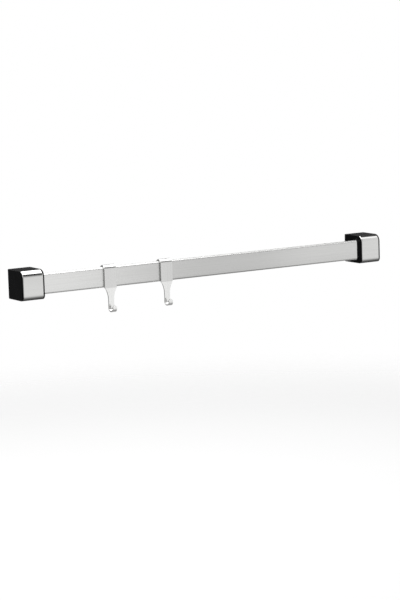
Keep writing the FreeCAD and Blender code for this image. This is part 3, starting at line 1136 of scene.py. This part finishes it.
def add_floor(settings):
    """A round pale floor that fades into the background at its rim."""
    corners = []
    for step in range(FLOOR_STEPS):
        turn = 2 * math.pi * step / FLOOR_STEPS
        x, y = FLOOR_RADIUS * math.cos(turn), FLOOR_RADIUS * math.sin(turn)
        corners.append((x, y, -settings.floor_drop))
    mesh = bpy.data.meshes.new("floor")
    mesh.from_pydata(corners, [], [tuple(range(FLOOR_STEPS))])
    floor = bpy.data.objects.new("floor", mesh)
    bpy.context.scene.collection.objects.link(floor)

    material = bpy.data.materials.new("floor")
    material.use_nodes = True
    material.node_tree.nodes.clear()
    nodes = Nodes(material.node_tree)
    path = nodes.add("ShaderNodeLightPath").outputs
    paint = nodes.add("ShaderNodeBsdfDiffuse", {"Color": (*settings.floor_colour, 1.0)})
    strength = nodes.maths("MULTIPLY", path["Is Camera Ray"], FLOOR_GLOW)
    glow = nodes.add("ShaderNodeEmission", {"Color": WHITE, "Strength": strength})
    lit = nodes.add("ShaderNodeAddShader", {0: paint, 1: glow})
    clear = nodes.add("ShaderNodeBsdfTransparent")
    place = nodes.add("ShaderNodeTexCoord").outputs["Object"]
    flat = nodes.add(
        "ShaderNodeVectorMath", {0: place, 1: (1.0, 1.0, 0.0)}, operation="MULTIPLY"
    )
    reach = nodes.add("ShaderNodeVectorMath", {0: flat}, operation="LENGTH").outputs["Value"]
    rim = nodes.ramp(reach, *FLOOR_FADE, smooth=True)
    # Shiny pieces see the world's own flags below them in place of the floor, and a
    # camera below the floor sees through it
    shiny = nodes.maths("MAXIMUM", path["Is Glossy Ray"], path["Is Transmission Ray"])
    below = nodes.add("ShaderNodeNewGeometry").outputs["Backfacing"]
    fade = nodes.maths("MAXIMUM", rim, nodes.maths("MAXIMUM", shiny, below))
    faded = nodes.add("ShaderNodeMixShader", {0: fade, 1: lit, 2: clear})
    nodes.add("ShaderNodeOutputMaterial", {"Surface": faded})
    mesh.materials.append(material)


def add_softbox(power):
    """The soft light overhead, a little in front of the rail."""
    lamp = bpy.data.lights.new("softbox", "AREA")
    lamp.shape = "RECTANGLE"
    lamp.size, lamp.size_y = SOFTBOX_SIZE
    lamp.energy = power
    holder = bpy.data.objects.new("softbox", lamp)
    bpy.context.scene.collection.objects.link(holder)
    holder.location = SOFTBOX_PLACE
    holder.visible_camera = False


def hump(nodes, value, reach):
    """1 between the two middle values of a reach, falling to 0 at its outer two."""
    starts, full, leaves, ends = reach
    rises = nodes.ramp(value, starts, full, smooth=True)
    return nodes.maths("MULTIPLY", rises, nodes.ramp(value, leaves, ends, 1.0, 0.0, smooth=True))


def add_surround():
    """The world: white where it is seen, with dark flags where it is mirrored."""
    world = bpy.data.worlds.new("surround")
    world.use_nodes = True
    world.node_tree.nodes.clear()
    nodes = Nodes(world.node_tree)
    direction = nodes.add("ShaderNodeTexCoord").outputs["Generated"]
    x, y, z = nodes.add("ShaderNodeSeparateXYZ", {0: direction}).outputs
    turned = nodes.maths("DEGREES", nodes.maths("ARCTAN2", z, nodes.maths("MULTIPLY", y, -1.0)))
    pitch = nodes.maths("WRAP", turned, 270.0, -90.0)
    mirrored = 1.0
    for across, up, depth in FLAGS.values():
        cover = nodes.maths("MULTIPLY", hump(nodes, x, across), hump(nodes, pitch, up))
        left = nodes.maths("SUBTRACT", 1.0, nodes.maths("MULTIPLY", cover, depth))
        mirrored = nodes.maths("MULTIPLY", mirrored, left)
    path = nodes.add("ShaderNodeLightPath").outputs
    shiny = nodes.maths("MAXIMUM", path["Is Glossy Ray"], path["Is Transmission Ray"])
    seen = nodes.maths("MAXIMUM", nodes.maths("MULTIPLY", shiny, mirrored), path["Is Camera Ray"])
    plain = nodes.maths("SUBTRACT", 1.0, nodes.maths("MAXIMUM", shiny, path["Is Camera Ray"]))
    level = nodes.maths("ADD", seen, nodes.maths("MULTIPLY", plain, PLAIN_LIGHT))
    background = nodes.add("ShaderNodeBackground", {"Color": WHITE, "Strength": level})
    nodes.add("ShaderNodeOutputWorld", {"Surface": background})
    bpy.context.scene.world = world


class UTENSILRAIL_OT_stage(PieceOperator):
    """Make the floor, the soft light, the white surround and the camera"""

    bl_idname = "utensil_rail.stage"
    bl_label = "Stage"

    def execute(self, context):
        settings = self.settings.stage
        add_floor(settings)
        add_softbox(settings.softbox_power)
        add_surround()
        add_camera()
        context.scene.view_settings.view_transform = "Standard"
        return {"FINISHED"}


# What is registered, in the order in which it is made
MAKERS = (
    (UTENSILRAIL_OT_rail, "rail"),
    (UTENSILRAIL_OT_front_plates, "plates"),
    (UTENSILRAIL_OT_hooks, "hooks"),
    (UTENSILRAIL_OT_set_screws, "screws"),
    (UTENSILRAIL_OT_mouldings, "mouldings"),
    (UTENSILRAIL_OT_fittings, "fittings"),
    (UTENSILRAIL_OT_stage, "stage"),
)


class UTENSILRAIL_PT_sidebar(bpy.types.Panel):
    """Each piece of the rail, with the sizes and colours that it is made with"""

    bl_idname = "UTENSILRAIL_PT_sidebar"
    bl_label = "Utensil Rail"
    bl_space_type = "VIEW_3D"
    bl_region_type = "UI"
    bl_category = "Utensil Rail"

    def draw(self, context):
        for operator, group in MAKERS:
            part = self.layout.box()
            part.operator(operator.bl_idname)
            settings = getattr(context.scene.utensil_rail, group)
            for name in settings.bl_rna.properties.keys():
                if name not in ("rna_type", "name"):
                    part.prop(settings, name)


CLASSES = (
    RailSettings,
    PlateSettings,
    HookSettings,
    ScrewSettings,
    MouldingSettings,
    FittingSettings,
    StageSettings,
    UtensilRailSettings,
    *[operator for operator, group in MAKERS],
    UTENSILRAIL_PT_sidebar,
)


def register():
    for item in CLASSES:
        bpy.utils.register_class(item)
    bpy.types.Scene.utensil_rail = bpy.props.PointerProperty(type=UtensilRailSettings)


def unregister():
    del bpy.types.Scene.utensil_rail
    for item in reversed(CLASSES):
        bpy.utils.unregister_class(item)


def main():
    register()
    for operator, group in MAKERS:
        category, name = operator.bl_idname.split(".")
        getattr(getattr(bpy.ops, category), name)()


if __name__ == "__main__":
    main()
